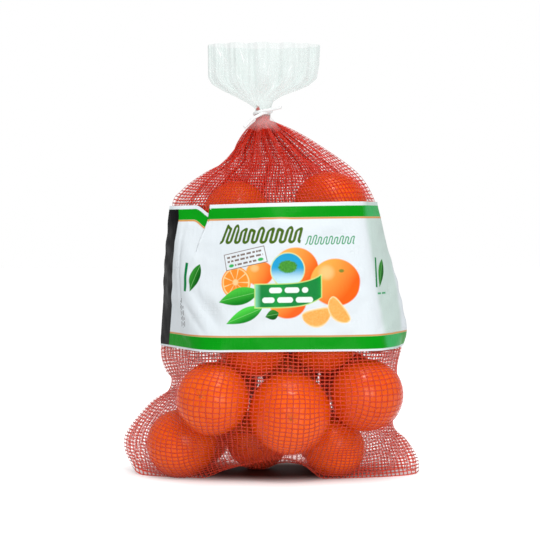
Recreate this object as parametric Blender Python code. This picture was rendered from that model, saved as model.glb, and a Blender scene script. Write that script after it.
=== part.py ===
"""A net of mandarins that stands on its base: a net bag drawn over the mandarins, a printed film band
round its middle, a twist tie round its neck and the flared top of clear film above the tie.

Everything is worked out in millimetres and built in metres. +X is the pack's right, +Z is up, the printed
front looks along -Y, and the origin lies on the floor under the middle of the pack.
"""

import math

import bmesh
import bpy
import numpy as np

MM = 0.001

# The mandarins, as (x, y, z, width). Those that show through the net keep nearly to their places.
SHOWN_FRUIT = {
    "floor_left": (-74, -15, 28, 58),
    "floor_right": (53, -13, 25, 52),
    "floor_middle": (-12, 20, 26, 54),
    "second_left": (-48, -42, 68, 60),
    "second_middle": (14, -43, 57, 67),
    "second_right": (75, -30, 70, 60),
    "third_left": (-17, -27, 112, 60),
    "third_middle": (44, -21, 115, 58),
    "third_right": (89, 12, 124, 48),
    "top_left": (-30, 9, 219, 56),
    "top_middle": (3, -27, 203, 49),
    "top_right": (50, -2, 223, 64),
}
# These fill the pack behind the band and at the back.
HIDDEN_FRUIT = {
    "floor_back_right": (46, 46, 25, 52),
    "floor_back_left": (-60, 44, 25, 52),
    "second_back_left": (-36, 26, 73, 52),
    "second_back_middle": (16, 26, 84, 54),
    "second_back_right": (66, 26, 77, 50),
    "third_back_left": (-62, 2, 128, 50),
    "third_back_middle": (14, 30, 138, 54),
    "fourth_left": (-54, -8, 177, 52),
    "fourth_middle": (6, 32, 189, 48),
    "fourth_right": (62, 2, 172, 52),
}
FRUIT_FLATNESS = 0.88  # height of a mandarin over its width
FLOOR_SQUASH = 0.955  # the floor presses a small flat on the lowest mandarins
SHOWN_FRUIT_GIVE = 0.15  # how far a shown mandarin moves aside beside a hidden one

# The bag's two side creases, from the floor to the neck, as (x, z).
LEFT_CREASE = [
    (-118, 4), (-125, 21), (-122, 36), (-102, 60), (-81, 74), (-90, 87), (-94, 107),
    (-91, 150), (-85, 222), (-76, 239), (-56, 254), (-35, 265), (-28, 278), (-14, 298),
]
RIGHT_CREASE = [
    (125, 1), (124, 12), (114, 28), (103, 40), (104, 65), (106, 90), (111, 115),
    (106, 151), (95, 200), (87, 230), (73, 253), (45, 274), (20, 289), (-1, 298),
]
CREASE_Y = 6.8
SEAM_FORWARD = 33  # how far the bottom seam lies in front of the creases at its middle
SEAM_LINE = [  # the seam as (x, z): it lies on the floor but for an arch at its middle
    (-118, 4), (-106, 0), (-78, 0), (-58, 0), (-40, 7), (-22, 12), (0, 16), (14, 17),
    (26, 12), (35, 5), (44, 0), (64, 0), (100, 0), (125, 1),
]

# The neck, where the tie holds the bag.
NECK = (-7.5, 7)
NECK_Z = 304
NECK_START_Z = 298
NECK_RADIUS = 6.2

# The printed band.
BAND_BOTTOM = 108
BAND_TOP = 227.5
BAND_TILT = 0.02  # rise of the band's top edge per unit of x; its bottom edge is level
BAND_THICKNESS = 0.6
BAND_GAP = 0.35

# The net.
NET_THICKNESS = 0.7
LAYER_GAP = 2.4  # least gap between the front and back layers in the empty corners
COLUMNS = 60
LOWER_ROWS = 23
BAND_ROWS = 10
UPPER_ROWS = 15
PLEATS = 12
PLEAT_DEPTH = 3.2

# The clear film above the tie.
FILM_BASE_Z = 304.6
FILM_TOP_Z = 361
FILM_WIDTH = 96
FILM_DEPTH = 46
FILM_COLLAR = 5.2  # height over which the tie holds the film
FILM_OPEN_HEIGHT = 24  # height over which the film then flares to its full width
FILM_PLEATS = 9
FILM_ROWS = 11

# The twist tie.
TIE_WIRE = 1.5
TIE_PITCH = 2.1
TIE_TURNS = 1
TIE_LEAN = 0.2  # rise of its ring per unit of x

# What puts the middle of the whole pack over the origin.
SHIFT = np.array([0.15, 1.48, 0.0])


def clear_scene():
    for obj in list(bpy.data.objects):
        bpy.data.objects.remove(obj)


def smooth_curve(points, count):
    """A smooth curve through the points, as count points evenly spaced along it."""
    points = np.array(points, float)
    before = np.vstack([2 * points[0] - points[1], points, 2 * points[-1] - points[-2]])
    steps = np.linspace(0, 1, 16, endpoint=False)[:, None]
    runs = []
    for a, b, c, d in zip(before, before[1:], before[2:], before[3:]):
        runs.append(0.5 * (2 * b + (c - a) * steps + (2 * a - 5 * b + 4 * c - d) * steps**2
                           + (3 * b - a - 3 * c + d) * steps**3))
    return even_points(np.vstack([*runs, points[-1:]]), count)


def even_points(line, count):
    """The line again, as count points evenly spaced along it."""
    along = np.concatenate([[0], np.cumsum(np.linalg.norm(np.diff(line, axis=0), axis=1))])
    wanted = np.linspace(0, along[-1], count)
    return np.column_stack([np.interp(wanted, along, line[:, k]) for k in range(line.shape[1])])


def fruit_axes(count):
    """The way that each mandarin's stem points: the shown ones nearly along Y, and the rest at random."""
    random = np.random.default_rng(7)
    axes = random.normal(size=(count, 3))
    axes[: len(SHOWN_FRUIT), 1] -= 2.2
    return axes / np.linalg.norm(axes, axis=1)[:, None]


def reach(directions, axis, radius):
    """How far a mandarin's surface lies from its middle, along unit directions."""
    along = directions @ axis
    return radius / np.sqrt(1 - along**2 + (along / FRUIT_FLATNESS) ** 2)


def settle_fruit():
    """The mandarins' middles, pushed apart until none overlap, with their radii and axes."""
    places = np.array([*SHOWN_FRUIT.values(), *HIDDEN_FRUIT.values()], float)
    middles, radii = places[:, :3].copy(), places[:, 3] / 2
    axes = fruit_axes(len(middles))
    give = np.ones(len(middles))
    give[: len(SHOWN_FRUIT)] = SHOWN_FRUIT_GIVE
    down = np.array([0.0, 0.0, -1.0])
    for _ in range(300):
        for a in range(len(middles)):
            for b in range(a + 1, len(middles)):
                apart = middles[b] - middles[a]
                distance = np.linalg.norm(apart)
                way = apart / distance
                overlap = reach(way, axes[a], radii[a]) + reach(-way, axes[b], radii[b]) + 0.3 - distance
                if overlap > 0:
                    share = give[a] / (give[a] + give[b])
                    middles[a] -= way * overlap * share
                    middles[b] += way * overlap * (1 - share)
            lowest = reach(down, axes[a], radii[a]) * FLOOR_SQUASH
            middles[a, 2] = max(middles[a, 2], lowest)
    return middles, radii, axes


def push_out(points, fruit, clearance):
    """Moves the points that lie in a mandarin, or nearer than the clearance, out of it."""
    for middle, radius, axis in zip(*fruit):
        away = points - middle
        distance = np.linalg.norm(away, axis=-1, keepdims=True)
        way = away / np.maximum(distance, 1e-6)
        least = reach(way, axis, radius)[..., None] + clearance
        points = np.where(distance < least, middle + way * least, points)
    return points


def grid_normals(grid):
    """Outward normals of a grid of rings: rows up the pack, columns round it from the left by the front."""
    across = np.roll(grid, -1, axis=1) - np.roll(grid, 1, axis=1)
    up = np.gradient(grid, axis=0)
    normals = np.cross(across, up)
    return normals / np.maximum(np.linalg.norm(normals, axis=2, keepdims=True), 1e-9)


def creases(rows_z):
    """The left and right creases' x at these heights."""
    lines = [smooth_curve(outline, 200) for outline in (LEFT_CREASE, RIGHT_CREASE)]
    return [np.interp(rows_z, line[:, 1], line[:, 0]) for line in lines]


def band_surface(fruit, rows):
    """The band's inner surface, as rings: the taut hull of the mandarins and the two creases behind it."""
    heights = np.linspace(BAND_BOTTOM, BAND_TOP, rows)
    random = np.random.default_rng(3)
    ways = random.normal(size=(700, 3))
    ways /= np.linalg.norm(ways, axis=1)[:, None]
    cloud = [middle + ways * (reach(ways, axis, radius) + NET_THICKNESS)[:, None]
             for middle, radius, axis in zip(*fruit)]
    cloud = np.vstack(cloud)
    crease_z = np.linspace(BAND_BOTTOM - 14, BAND_TOP + 8, 60)
    for crease_x in creases(crease_z):
        cloud = np.vstack([cloud, np.column_stack([crease_x, np.full(60, CREASE_Y), crease_z])])
    cloud[:, 2] -= tilt(cloud)
    edges = np.linspace(BAND_BOTTOM - 14, BAND_TOP + 10, 33)
    level = (edges[:-1] + edges[1:]) / 2
    angles = np.linspace(0, 2 * math.pi, 720, endpoint=False)
    across = np.column_stack([np.cos(angles), np.sin(angles)])
    reached = np.array([(cloud[(cloud[:, 2] >= low) & (cloud[:, 2] < high)][:, :2] @ across.T).max(axis=0)
                        for low, high in zip(edges, edges[1:])])
    rings = []
    for height in heights:
        below, above = level <= height, level > height
        share = (height - level[below])[:, None] / (level[above][None] - level[below][:, None])
        spans = reached[below][:, None] * (1 - share[..., None]) + reached[above][None] * share[..., None]
        support = spans.max(axis=(0, 1))
        slope = (np.roll(support, -1) - np.roll(support, 1)) / (angles[2] - angles[0])
        outline = support[:, None] * across + slope[:, None] * np.column_stack([-across[:, 1], across[:, 0]])
        rings.append(split_ring(outline, height))
    band = soften(np.array(rings))
    band[..., 2] += tilt(band)
    return push_out(band, fruit, NET_THICKNESS + 0.4)


def tilt(points):
    """How far the band's edges and the lines between them rise at these points."""
    return BAND_TILT * points[..., 0] * (points[..., 2] - BAND_BOTTOM) / (BAND_TOP - BAND_BOTTOM)


def split_ring(outline, height):
    """A ring of COLUMNS points from the left crease by the front to the right crease, and back behind."""
    left, right = np.argmin(outline[:, 0]), np.argmax(outline[:, 0])
    turned = np.roll(outline, -left, axis=0)
    turn = (right - left) % len(outline)
    front = even_points(turned[: turn + 1], COLUMNS // 2 + 1)
    back = even_points(np.vstack([turned[turn:], turned[:1]]), COLUMNS // 2 + 1)
    ring = np.vstack([front[:-1], back[:-1]])
    return np.column_stack([ring, np.full(len(ring), height)])


def soften(grid):
    """The grid with its small steps smoothed, but for the two creases."""
    smooth = (np.roll(grid, 1, axis=1) + np.roll(grid, -1, axis=1) + 4 * grid) / 6
    smooth[:, [0, COLUMNS // 2]] = grid[:, [0, COLUMNS // 2]]
    return smooth


def drape(grid, fruit, rounds):
    """Draws the net tight over the mandarins between its first and last rows and its two side creases."""
    half = COLUMNS // 2
    creased = [0, half]
    held = grid[:, creased].copy()
    first, last = grid[0].copy(), grid[-1].copy()
    front = np.arange(1, half)
    back = COLUMNS - front
    for _ in range(rounds):
        mean = (np.roll(grid, 1, axis=1) + np.roll(grid, -1, axis=1)) / 4
        mean[1:-1] += (grid[:-2] + grid[2:]) / 4
        grid[1:-1] = mean[1:-1]
        grid = push_out(grid, fruit, NET_THICKNESS)
        grid[..., 2] = np.maximum(grid[..., 2], 0)
        short = np.maximum(LAYER_GAP - (grid[:, back, 1] - grid[:, front, 1]), 0) / 2
        grid[:, front, 1] -= short
        grid[:, back, 1] += short
        grid[:, creased] = held
        grid[0], grid[-1] = first, last
    return grid


def seam_ring():
    """The bottom seam, as a thin ring: its front edge from left to right, and its back edge behind."""
    half = COLUMNS // 2
    x = np.linspace(LEFT_CREASE[0][0], RIGHT_CREASE[0][0], half + 1)
    share = np.linspace(0, 1, half + 1)
    y = CREASE_Y - SEAM_FORWARD * np.sin(math.pi * share) ** 0.4
    seam = smooth_curve(SEAM_LINE, 300)
    z = np.maximum(np.interp(x, seam[:, 0], seam[:, 1]), 0)
    line = np.column_stack([x, y, z])
    gap = np.array([0, LAYER_GAP / 2, 0])
    return np.vstack([line[:1], line[1:-1] - gap, line[-1:], line[-2:0:-1] + gap])


def neck_ring(z):
    share = np.arange(COLUMNS) / COLUMNS
    angle = math.pi + 2 * math.pi * share
    return np.column_stack([NECK[0] + NECK_RADIUS * np.cos(angle), NECK[1] + NECK_RADIUS * np.sin(angle),
                            np.full(COLUMNS, z)])


def crease_run(outline, low, high, rows):
    """Points up a crease between two of its heights, as (x, y, z)."""
    line = smooth_curve(outline, 400)
    start = np.argmin(np.abs(line[:, 1] - low))
    end = np.argmin(np.abs(line[:, 1] - high))
    run = even_points(line[start : end + 1], rows)
    return np.column_stack([run[:, 0], np.full(rows, CREASE_Y), run[:, 1]])


def between(first, last, rows, bulge):
    """Rings from the first to the last one, bulging out by so much at the middle of the front and back."""
    share = np.linspace(0, 1, rows)[:, None, None]
    grid = first * (1 - share) + last * share
    round_way = np.arange(COLUMNS) / COLUMNS * 2 * math.pi
    swell = np.sin(math.pi * share[..., 0]) ** 0.5
    front_back = np.where(np.sin(round_way) > 0, -bulge[0], bulge[1]) * np.abs(np.sin(round_way)) ** 0.4
    grid[..., 1] += swell * front_back
    return grid


def net_grid(fruit, band):
    """The whole net as rings of points, from the bottom seam to the neck."""
    half = COLUMNS // 2
    under_band = band - grid_normals(band) * (BAND_GAP + 0.1)
    seam, neck = seam_ring(), neck_ring(NECK_START_Z)
    lower = between(seam, under_band[0], LOWER_ROWS, (62, 92))
    upper = between(under_band[-1], neck, UPPER_ROWS, (8, 8))
    for outline, column in ((LEFT_CREASE, 0), (RIGHT_CREASE, half)):
        low, high = under_band[0, column], under_band[-1, column]
        lower[:, column] = crease_run(outline, outline[0][1], low[2], LOWER_ROWS)
        upper[:, column] = crease_run(outline, high[2], NECK_START_Z, UPPER_ROWS)
        lower[-1, column], upper[0, column] = low, high
        upper[-1, column] = neck[column]
    lower = drape(lower, fruit, 360)
    upper = pleat(drape(upper, fruit, 240), fruit)
    return np.concatenate([lower[:-1], under_band, upper[1:], neck_ring(NECK_Z)[None]])


def pleat(upper, fruit):
    """Gathers the net into pleats towards the neck, where it doesn't lie on a mandarin."""
    rows = len(upper)
    up = np.linspace(0, 1, rows)[:, None]
    depth = PLEAT_DEPTH * np.sin(math.pi * np.clip(up, 0, 1) ** 1.6) ** 1.2
    turn = np.arange(COLUMNS) / COLUMNS * 2 * math.pi
    wave = np.sin(PLEATS * turn + 0.9 * np.sin(3 * turn)) * np.minimum(1, 2.5 * np.abs(np.sin(turn)))
    pleated = upper + grid_normals(upper) * (depth * wave)[..., None]
    pleated[:, [0, COLUMNS // 2]] = upper[:, [0, COLUMNS // 2]]
    pleated = push_out(pleated, fruit, NET_THICKNESS)
    pleated[0], pleated[-1] = upper[0], upper[-1]
    return pleated


def add_solid(name, points, faces, colour, roughness):
    """One closed solid, with its own material, from points in millimetres."""
    mesh = bpy.data.meshes.new(name)
    mesh.from_pydata(((np.asarray(points) + SHIFT) * MM).tolist(), [], faces)
    solid = bmesh.new()
    solid.from_mesh(mesh)
    bmesh.ops.recalc_face_normals(solid, faces=solid.faces)
    solid.to_mesh(mesh)
    solid.free()
    mesh.shade_smooth()
    obj = bpy.data.objects.new(name, mesh)
    bpy.context.scene.collection.objects.link(obj)
    paint(obj, colour, roughness)
    return obj


def paint(obj, colour, roughness):
    material = bpy.data.materials.new(obj.name)
    material.use_nodes = True
    shader = material.node_tree.nodes["Principled BSDF"]
    shader.inputs["Base Color"].default_value = (*colour, 1)
    shader.inputs["Roughness"].default_value = roughness
    obj.data.materials.append(material)


def ring_faces(rows, columns, start=0):
    """The four-sided faces between rings of points that follow each other."""
    faces = []
    for row in range(rows - 1):
        for column in range(columns):
            a = start + row * columns + column
            b = start + row * columns + (column + 1) % columns
            faces.append((a, b, b + columns, a + columns))
    return faces


def build_net(grid):
    rows, columns = grid.shape[:2]
    faces = ring_faces(rows, columns)
    faces.append((0, columns - 1, 1))
    for i in range(1, columns // 2 - 1):
        faces.append((i, columns - i, columns - i - 1, i + 1))
    middle = columns // 2
    faces.append((middle - 1, middle + 1, middle))
    points = [*grid.reshape(-1, 3), grid[-1].mean(axis=0)]
    last = (rows - 1) * columns
    faces += [(last + i, last + (i + 1) % columns, len(points) - 1) for i in range(columns)]
    add_solid("net_of_fruit", points, faces, (0.62, 0.06, 0.03), 0.45)


def build_band(band):
    """The band: its inner and outer surfaces, and the two rims between them."""
    rows, columns = band.shape[:2]
    outer = band + grid_normals(band) * BAND_THICKNESS
    outer[..., 2] = band[..., 2]
    faces = ring_faces(rows, columns) + ring_faces(rows, columns, rows * columns)
    top = (rows - 1) * columns
    for column in range(columns):
        after = (column + 1) % columns
        for row in (0, top):
            faces.append((row + column, row + after, row + after + rows * columns,
                          row + column + rows * columns))
    add_solid("printed_band", [*band.reshape(-1, 3), *outer.reshape(-1, 3)], faces, (0.85, 0.88, 0.88), 0.25)


def build_film():
    """The clear film above the tie, as the solid out to its pleats."""
    rings = []
    for share in np.linspace(0, 1, FILM_ROWS):
        z = FILM_BASE_Z + share * (FILM_TOP_Z - FILM_BASE_Z)
        opened = min(max(z - FILM_BASE_Z - FILM_COLLAR, 0) / FILM_OPEN_HEIGHT, 1)
        opened = math.sin(opened * math.pi / 2) ** 1.3
        width = NECK_RADIUS + (FILM_WIDTH / 2 - NECK_RADIUS) * opened
        depth = NECK_RADIUS + (FILM_DEPTH / 2 - NECK_RADIUS) * opened
        turn = np.arange(COLUMNS) / COLUMNS * 2 * math.pi
        wave = 1 + 0.16 * opened * np.sin(FILM_PLEATS * turn + 0.6) - 0.16 * opened
        rings.append(np.column_stack([NECK[0] + width * wave * np.cos(turn),
                                      NECK[1] + depth * wave * np.sin(turn), np.full(COLUMNS, z)]))
    grid = np.array(rings)
    points = [*grid.reshape(-1, 3), grid[0].mean(axis=0), grid[-1].mean(axis=0)]
    faces = ring_faces(FILM_ROWS, COLUMNS)
    last = (FILM_ROWS - 1) * COLUMNS
    for i in range(COLUMNS):
        after = (i + 1) % COLUMNS
        faces.append((i, after, len(points) - 2))
        faces.append((last + i, last + after, len(points) - 1))
    add_solid("film_top", points, faces, (0.8, 0.85, 0.84), 0.15)


def build_tie():
    """The twist tie: a turn of covered wire round the neck, with its two ends standing out in front."""
    ring = NECK_RADIUS + TIE_WIRE / 2 + 0.6
    turns = np.linspace(0, TIE_TURNS, 17)
    angle = 2 * math.pi * turns - math.pi / 2
    coil = np.column_stack([NECK[0] + ring * np.cos(angle), NECK[1] + ring * np.sin(angle),
                            NECK_Z - 0.6 + TIE_PITCH * turns + TIE_LEAN * ring * np.cos(angle)])
    first_end = [(NECK[0] - ring - 8, NECK[1] - ring - 3, coil[0, 2] - 12),
                 (NECK[0] - ring - 1, NECK[1] - ring - 2, coil[0, 2] - 5)]
    last_end = [(NECK[0] + ring, NECK[1] - ring - 1, coil[-1, 2] + 1.2),
                (NECK[0] + ring + 8, NECK[1] - ring - 3, coil[-1, 2] + 2.6)]
    route = smooth_curve([*first_end, *coil, *last_end], 48)
    curve = bpy.data.curves.new("neck_tie", "CURVE")
    curve.dimensions = "3D"
    curve.bevel_depth = TIE_WIRE / 2 * MM
    curve.bevel_resolution = 1
    curve.use_fill_caps = True
    spline = curve.splines.new("POLY")
    spline.points.add(len(route) - 1)
    for point, place in zip(spline.points, route):
        point.co = (*((place + SHIFT) * MM), 1)
    obj = bpy.data.objects.new("neck_tie", curve)
    bpy.context.scene.collection.objects.link(obj)
    paint(obj, (0.85, 0.85, 0.85), 0.4)


def main():
    clear_scene()
    fruit = settle_fruit()
    band = band_surface(fruit, BAND_ROWS)
    build_net(net_grid(fruit, band))
    build_band(band)
    build_film()
    build_tie()


main()
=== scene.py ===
# A net of mandarins that stands on its base: fruit, red net, printed band, twist tie and clear film top.
# Lengths are in millimetres until a mesh is made, when they become metres.

import math

import bpy
import numpy as np
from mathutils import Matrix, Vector


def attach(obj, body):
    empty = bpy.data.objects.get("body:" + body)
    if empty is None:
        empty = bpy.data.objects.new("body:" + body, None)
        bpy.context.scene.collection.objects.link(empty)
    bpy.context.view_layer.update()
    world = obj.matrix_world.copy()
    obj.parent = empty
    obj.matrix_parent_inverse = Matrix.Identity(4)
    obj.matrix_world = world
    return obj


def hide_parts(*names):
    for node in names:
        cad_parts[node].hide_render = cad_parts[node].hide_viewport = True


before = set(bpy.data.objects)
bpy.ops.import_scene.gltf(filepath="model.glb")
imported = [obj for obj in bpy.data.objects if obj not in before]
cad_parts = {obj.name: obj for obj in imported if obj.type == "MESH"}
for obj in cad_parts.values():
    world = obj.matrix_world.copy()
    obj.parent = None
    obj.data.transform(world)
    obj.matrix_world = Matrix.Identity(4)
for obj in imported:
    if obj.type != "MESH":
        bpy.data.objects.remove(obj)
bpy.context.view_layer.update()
metre = 0.001  # one millimetre
shift = np.array([0.15, 1.48, 0.0])  # puts the middle of the pack over the origin

mandarins = {
    # middle and width of each mandarin
    "shown": {
        "floorLeft": (-74, -15, 28, 58),
        "floorRight": (53, -13, 25, 52),
        "floorMiddle": (-12, 20, 26, 54),
        "secondLeft": (-48, -42, 68, 60),
        "secondMiddle": (14, -43, 57, 67),
        "secondRight": (75, -30, 70, 60),
        "thirdLeft": (-17, -27, 112, 60),
        "thirdMiddle": (44, -21, 115, 58),
        "thirdRight": (89, 12, 124, 48),
        "topLeft": (-30, 9, 219, 56),
        "topMiddle": (3, -27, 203, 49),
        "topRight": (50, -2, 223, 64),
    },
    "hidden": {
        "floorBackRight": (46, 46, 25, 52),
        "floorBackLeft": (-60, 44, 25, 52),
        "secondBackLeft": (-36, 26, 73, 52),
        "secondBackMiddle": (16, 26, 84, 54),
        "secondBackRight": (66, 26, 77, 50),
        "thirdBackLeft": (-62, 2, 128, 50),
        "thirdBackMiddle": (14, 30, 138, 54),
        "fourthLeft": (-54, -8, 177, 52),
        "fourthMiddle": (6, 32, 189, 48),
        "fourthRight": (62, 2, 172, 52),
    },
    "stemShown": ("secondLeft", "secondMiddle"),  # the rest turn their blossom end to the front
    "flatness": 0.88,  # height over width
    "floorSquash": 0.955,  # the floor presses a small flat on the lowest ones
    "shownGive": 0.15,  # how far a shown mandarin moves aside beside a hidden one
    "around": 72,
    "along": 46,
    "lumps": 0.016,  # of the radius
    "shoulderFurrows": 0.012,
    "stemDimple": 1.5,
    "buttonWidth": 3.4,
    "deepOrange": (0.69, 0.068, 0.0015),
    "brightOrange": (0.90, 0.152, 0.002),
    "stemBrown": (0.30, 0.13, 0.02),
    "roughness": 0.21,
}

net = {
    "leftCrease": [
        (-118, 4), (-125, 21), (-122, 36), (-102, 60), (-81, 74), (-90, 87), (-94, 107),
        (-91, 150), (-85, 222), (-76, 239), (-56, 254), (-35, 265), (-28, 278), (-14, 298),
    ],
    "rightCrease": [
        (125, 1), (124, 12), (114, 28), (103, 40), (104, 65), (106, 90), (111, 115),
        (106, 151), (95, 200), (87, 230), (73, 253), (45, 274), (20, 289), (-1, 298),
    ],
    "creaseDepth": 6.8,
    "seamForward": 33,
    "seamLine": [  # (across, up): on the floor but for an arch at its middle
        (-118, 4), (-106, 0), (-78, 0), (-58, 0), (-40, 7), (-22, 12), (0, 16), (14, 17),
        (26, 12), (35, 5), (44, 0), (64, 0), (100, 0), (125, 1),
    ],
    "neck": (-7.5, 7),
    "neckStart": 298,
    "neckRadius": 5.6,
    "columns": 136,
    "lowerRows": 41,
    "bandRows": 36,
    "upperRows": 33,
    "lowerBulge": (62, 92),  # how far the front and back start out, before they are drawn tight
    "upperBulge": (8, 8),
    "gathers": ((17, 0.86), (25, 0.6)),  # depth of each gathered layer in the cone, its share of the width
    "gatherPitch": 2.4,
    "slackDepth": 15,  # of the loose layer between the lower front and back
    "slackPitch": 2.6,
    "clearance": 0.55,
    "layerGap": 1.6,
    "strandWidth": 1.05,
    "neckNarrowing": 0.42,  # of the strands' width, lost towards the tie
    "strandThickness": 0.4,
    "pleats": 12,
    "pleatDepth": 3.4,
    "red": (0.74, 0.022, 0.006),
    "brightRed": (0.90, 0.042, 0.012),
    # painted light: the paler red that the strands below the band are painted with
    "paintedLightRed": (0.95, 0.120, 0.060),
    "opacity": (0.45, 0.58),  # below the band and above it
    "roughness": 0.28,
}

band = {
    "bottom": 108,
    "top": 227.5,
    "tilt": 0.02,
    "gap": 0.35,
    "rows": 84,
    "middle": -1.3,  # where the print's middle is, across
    "leftColumns": 40,  # of the sheet from the left crease to the tuck
    "tuckColumns": 8,
    "rightColumns": 300,
    "tuckTop": (-54.5, 119.5),  # where the tuck starts at the top edge, along the sheet and up it
    "tuckEnd": (-70.0, 62.0),  # where it fades out
    "tuckOverlap": 7.0,
    "tuckDip": 8.0,  # how far the left side's top edge drops into the tuck
    "dipWidth": 14.0,
    "undulation": 0.9,
}


def smoothCurve(points, count):
    points = np.array(points, float)
    before = np.vstack([2 * points[0] - points[1], points, 2 * points[-1] - points[-2]])
    steps = np.linspace(0, 1, 16, endpoint=False)[:, None]
    runs = []
    for a, b, c, d in zip(before, before[1:], before[2:], before[3:]):
        bend = (2 * a - 5 * b + 4 * c - d) * steps**2 + (3 * b - a - 3 * c + d) * steps**3
        runs.append(0.5 * (2 * b + (c - a) * steps + bend))
    return evenPoints(np.vstack([*runs, points[-1:]]), count)


def evenPoints(line, count):
    along = np.concatenate([[0], np.cumsum(np.linalg.norm(np.diff(line, axis=0), axis=1))])
    wanted = np.linspace(0, along[-1], count)
    return np.column_stack([np.interp(wanted, along, line[:, k]) for k in range(line.shape[1])])


def turns(count):
    return np.arange(count) / count * 2 * math.pi


def unit(vectors):
    return vectors / np.maximum(np.linalg.norm(vectors, axis=-1, keepdims=True), 1e-9)


def waves(points, size, seed, count=10):
    # smooth noise in three dimensions, about -1 to 1, as a sum of slanting waves
    random = np.random.default_rng(seed)
    ways = unit(random.normal(size=(count, 3))) * (2 * math.pi / size)
    ways *= random.uniform(0.6, 1.5, count)[:, None]
    phases = random.uniform(0, 2 * math.pi, count)
    return np.sin(points @ ways.T + phases).sum(axis=-1) / math.sqrt(count / 2) / 1.6


def addMesh(name, points, faces, material, smooth=True):
    mesh = bpy.data.meshes.new(name)
    places = (np.asarray(points).reshape(-1, 3) + shift) * metre
    mesh.from_pydata(places.tolist(), [], faces if isinstance(faces, list) else faces.tolist())
    if smooth:
        mesh.shade_smooth()
    mesh.materials.append(material)
    piece = bpy.data.objects.new(name, mesh)
    bpy.context.scene.collection.objects.link(piece)
    return piece


def addNumbers(piece, name, values):
    kind = "FLOAT" if np.ndim(values) == 1 else "FLOAT_VECTOR"
    layer = piece.data.attributes.new(name, kind, "POINT")
    layer.data.foreach_set("value" if kind == "FLOAT" else "vector", np.asarray(values, np.float32).ravel())


def gridFaces(rows, columns, closed):
    last = columns if closed else columns - 1
    row, column = np.meshgrid(np.arange(rows - 1), np.arange(last), indexing="ij")
    a = row * columns + column
    b = row * columns + (column + 1) % columns
    return np.stack([a, b, b + columns, a + columns], axis=-1).reshape(-1, 4)


class Wire:  # one shader value, on which Python's operators add Math nodes
    def __init__(self, paint, socket):
        self.paint = paint
        self.socket = socket

    def __neg__(self):
        return self.paint.math("MULTIPLY", self, -1)

    def __abs__(self):
        return self.paint.math("ABSOLUTE", self)


def addOperator(name, operation):
    setattr(Wire, f"__{name}__", lambda wire, other: wire.paint.math(operation, wire, other))
    setattr(Wire, f"__r{name}__", lambda wire, other: wire.paint.math(operation, other, wire))


addOperator("add", "ADD")
addOperator("sub", "SUBTRACT")
addOperator("mul", "MULTIPLY")
addOperator("truediv", "DIVIDE")
addOperator("pow", "POWER")


class Paint:  # one material and its nodes
    def __init__(self, name):
        self.material = bpy.data.materials.new(name)
        self.material.use_nodes = True
        self.tree = self.material.node_tree
        self.shader = self.tree.nodes["Principled BSDF"]
        self.output = self.tree.nodes["Material Output"]

    def node(self, kind, settings=None, sockets=None):
        made = self.tree.nodes.new("ShaderNode" + kind)
        for key, value in (settings or {}).items():
            setattr(made, key, value)
        for key, value in (sockets or {}).items():
            self.feed(self.find(made.inputs, key), value)
        return made

    def find(self, sockets, key):
        if isinstance(key, int):
            return sockets[key]
        return next(socket for socket in sockets if key in (socket.identifier, socket.name))

    def feed(self, socket, value):
        if isinstance(value, Wire):
            self.tree.links.new(value.socket, socket)
        elif isinstance(value, tuple) and len(value) == 3 and socket.type == "RGBA":
            socket.default_value = (*value, 1)
        else:
            socket.default_value = value

    def wire(self, node, key=0):
        return Wire(self, self.find(node.outputs, key))

    def math(self, operation, *values):
        return self.wire(self.node("Math", {"operation": operation}, dict(enumerate(values))))

    def clamped(self, value):
        return self.wire(self.node("Clamp", None, {"Value": value}))

    def mix(self, factor, a, b):
        sockets = {"Factor_Float": factor, "A_Color": a, "B_Color": b}
        return self.wire(self.node("Mix", {"data_type": "RGBA"}, sockets), "Result_Color")

    def span(self, value, low, high, out=(0, 1)):
        settings = {"interpolation_type": "SMOOTHSTEP"}
        sockets = {"Value": value, "From Min": low, "From Max": high, "To Min": out[0], "To Max": out[1]}
        return self.wire(self.node("MapRange", settings, sockets), "Result")

    def place(self):
        return self.wire(self.node("TexCoord"), "Object")

    def attribute(self, name, part="Fac"):
        return self.wire(self.node("Attribute", {"attribute_name": name}), part)

    def split(self, vector):
        made = self.node("SeparateXYZ", None, {"Vector": vector})
        return self.wire(made, "X"), self.wire(made, "Y"), self.wire(made, "Z")

    def join(self, x, y, z=0.0):
        return self.wire(self.node("CombineXYZ", None, {"X": x, "Y": y, "Z": z}))

    def noise(self, vector, scale, detail=2.0, roughness=0.5):
        sockets = {"Vector": vector, "Scale": scale, "Detail": detail, "Roughness": roughness}
        return self.wire(self.node("TexNoise", None, sockets), "Fac")

    def cells(self, vector, scale):
        return self.wire(self.node("TexVoronoi", None, {"Vector": vector, "Scale": scale}), "Distance")

    def bump(self, height, distance, strength):
        sockets = {"Height": height, "Distance": distance, "Strength": strength}
        return self.wire(self.node("Bump", None, sockets), "Normal")

    def set(self, **sockets):
        words = {"ior": "IOR", "baseColor": "Base Color", "specular": "Specular IOR Level",
                 "subsurfaceWeight": "Subsurface Weight", "subsurfaceScale": "Subsurface Scale",
                 "subsurfaceRadius": "Subsurface Radius"}
        for key, value in sockets.items():
            self.feed(self.find(self.shader.inputs, words.get(key, key.capitalize())), value)


def fruitAxes(count, shown):
    random = np.random.default_rng(7)
    axes = random.normal(size=(count, 3))
    axes[:shown, 1] -= 2.2
    return unit(axes)


def reach(directions, axis, radius):
    along = directions @ axis
    return radius / np.sqrt(1 - along**2 + (along / mandarins["flatness"]) ** 2)


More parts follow.
